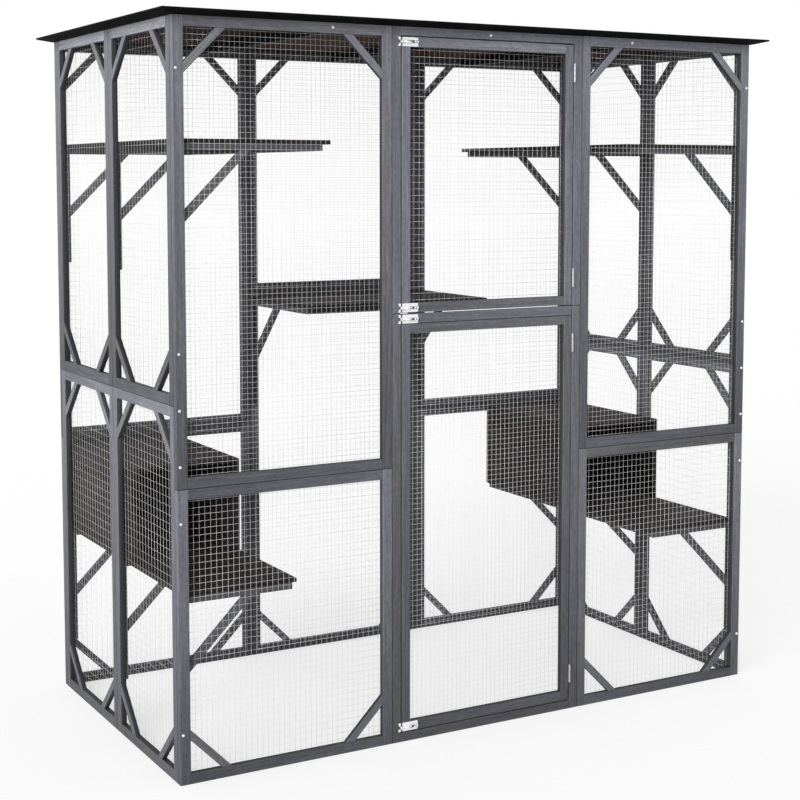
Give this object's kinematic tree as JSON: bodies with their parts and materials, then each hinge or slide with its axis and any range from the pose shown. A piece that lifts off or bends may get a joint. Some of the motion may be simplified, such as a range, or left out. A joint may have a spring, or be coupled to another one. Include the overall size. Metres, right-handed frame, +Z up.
{
  "type": "outdoor cat enclosure",
  "caption": "Walk-in outdoor cat enclosure of timber frames and welded wire, with a flat felted roof, stacked outward-opening doors with sliding bolts, inner shelves and sleeping boxes.",
  "frame": {"origin": "on the ground, in the middle of the footprint", "axes": "+X to the right of someone facing the doors, +Y from the doors to the back wall, +Z up"},
  "size_m": [1.78, 0.946, 1.8],
  "materials": {
    "painted_timber": "grey stained and painted softwood, satin, grain showing",
    "dark_board": "dark brown stained board, matt",
    "roof_board_wood": "reddish brown board, matt",
    "roof_felt": "black bitumen felt, granular",
    "galvanised_wire": "galvanised welded wire, dull",
    "zinc_hardware": "bright zinc plated pressed steel"
  },
  "bodies": {
    "enclosure": {"back_left_lower_panel": "painted_timber", "back_left_upper_panel": "painted_timber", "back_middle_lower_panel": "painted_timber", "back_middle_upper_panel": "painted_timber", "back_right_lower_panel": "painted_timber", "back_right_upper_panel": "painted_timber", "back_wire_mesh": "galvanised_wire", "frame_hinge_leaves": "zinc_hardware", "front_left_lower_panel": "painted_timber", "front_left_upper_panel": "painted_timber", "front_right_lower_panel": "painted_timber", "front_right_upper_panel": "painted_timber", "front_wire_mesh": "galvanised_wire", "hinge_pins": "zinc_hardware", "latch_keeps": "zinc_hardware", "left_front_lower_panel": "painted_timber", "left_front_upper_panel": "painted_timber", "left_house": "dark_board", "left_rear_lower_panel": "painted_timber", "left_rear_upper_panel": "painted_timber", "left_wire_mesh": "galvanised_wire", "lower_door_surround": "painted_timber", "lower_left_platform_board": "dark_board", "lower_left_platform_supports": "painted_timber", "lower_right_platform_board": "dark_board", "lower_right_platform_supports": "painted_timber", "middle_shelf_board": "dark_board", "middle_shelf_supports": "painted_timber", "right_front_lower_panel": "painted_timber", "right_front_upper_panel": "painted_timber", "right_house": "dark_board", "right_rear_lower_panel": "painted_timber", "right_rear_upper_panel": "painted_timber", "right_wire_mesh": "galvanised_wire", "roof_board_centre_left": "roof_board_wood", "roof_board_centre_right": "roof_board_wood", "roof_board_left": "roof_board_wood", "roof_board_right": "roof_board_wood", "roof_felt": "roof_felt", "roof_rafters": "painted_timber", "upper_door_surround": "painted_timber", "upper_left_shelf_board": "dark_board", "upper_left_shelf_supports": "painted_timber", "upper_right_shelf_board": "dark_board", "upper_right_shelf_supports": "painted_timber"},
    "lower_door": {"lower_door_frame": "painted_timber", "lower_door_wire_mesh": "galvanised_wire", "lower_door_hinge_leaves": "zinc_hardware", "lower_door_latch_plates": "zinc_hardware"},
    "upper_door": {"upper_door_frame": "painted_timber", "upper_door_wire_mesh": "galvanised_wire", "upper_door_hinge_leaves": "zinc_hardware", "upper_door_latch_plates": "zinc_hardware"},
    "lower_foot_bolt": {"lower_door_foot_bolt": "zinc_hardware"},
    "lower_head_bolt": {"lower_door_head_bolt": "zinc_hardware"},
    "upper_foot_bolt": {"upper_door_foot_bolt": "zinc_hardware"},
    "upper_head_bolt": {"upper_door_head_bolt": "zinc_hardware"}
  },
  "joints": [
    {"name": "lower_door_swing", "type": "hinge", "parent": "enclosure", "child": "lower_door", "pos_m": [0.2575, -0.4382, 0.55], "axis": [0, 0, 1], "range_deg": [0, 160]},
    {"name": "upper_door_swing", "type": "hinge", "parent": "enclosure", "child": "upper_door", "pos_m": [0.2575, -0.4382, 1.43], "axis": [0, 0, 1], "range_deg": [0, 160]},
    {"name": "lower_foot_bolt_slide", "type": "slide", "parent": "lower_door", "child": "lower_foot_bolt", "axis": [1, 0, 0], "range_m": [-0.005, 0.005]},
    {"name": "lower_head_bolt_slide", "type": "slide", "parent": "lower_door", "child": "lower_head_bolt", "axis": [1, 0, 0], "range_m": [-0.005, 0.005]},
    {"name": "upper_foot_bolt_slide", "type": "slide", "parent": "upper_door", "child": "upper_foot_bolt", "axis": [1, 0, 0], "range_m": [-0.005, 0.005]},
    {"name": "upper_head_bolt_slide", "type": "slide", "parent": "upper_door", "child": "upper_head_bolt", "axis": [1, 0, 0], "range_m": [-0.005, 0.005]}
  ]
}
